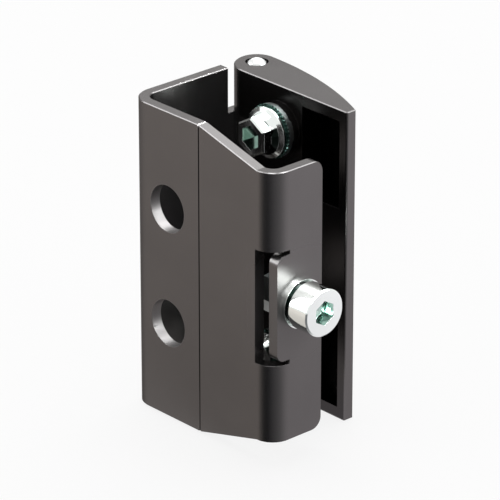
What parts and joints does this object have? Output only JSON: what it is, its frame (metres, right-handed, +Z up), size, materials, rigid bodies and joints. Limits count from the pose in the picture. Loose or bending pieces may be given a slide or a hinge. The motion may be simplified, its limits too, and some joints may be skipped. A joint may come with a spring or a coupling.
{
  "type": "hinge",
  "caption": "Concealed cabinet hinge: folded steel frame leaf with fixing holes and a clamp screw, and a cast wing that swings on a vertical pin.",
  "frame": {"origin": "middle of the two fixing holes, on the outer face of the front wall", "axes": "+Z up along the hinge pin, +X along the front wall from the pin side to the clamp screw, +Y from the front wall to the wing; the wing is closed"},
  "size_m": [0.0588, 0.0421, 0.0817],
  "materials": {
    "plate_coat": "satin brown-black powder coat on folded steel sheet",
    "wing_coat": "satin black powder coat on a zinc die casting",
    "pin_steel": "bright turned steel",
    "bolt_zinc": "bright blue-passivated zinc plate",
    "washer_zinc": "zinc plate with a green cast",
    "plain_zinc": "dull grey zinc plate"
  },
  "bodies": {
    "frame": {"frame_plate": "plate_coat", "clamp_plate": "plate_coat", "clamp_washer": "bolt_zinc", "clamp_screw": "bolt_zinc", "clamp_nut": "washer_zinc"},
    "wing": {"hinge_wing": "wing_coat", "hinge_pin": "pin_steel", "upper_wing_bolt": "bolt_zinc", "lower_wing_bolt": "bolt_zinc", "upper_toothed_washer": "washer_zinc", "lower_toothed_washer": "washer_zinc", "upper_plain_washer": "plain_zinc", "lower_plain_washer": "plain_zinc"}
  },
  "joints": [
    {"name": "wing_swing", "type": "hinge", "parent": "frame", "child": "wing", "pos_m": [-0.00875, 0.03685, 0], "axis": [0, 0, 1], "range_deg": [0, 180]}
  ]
}
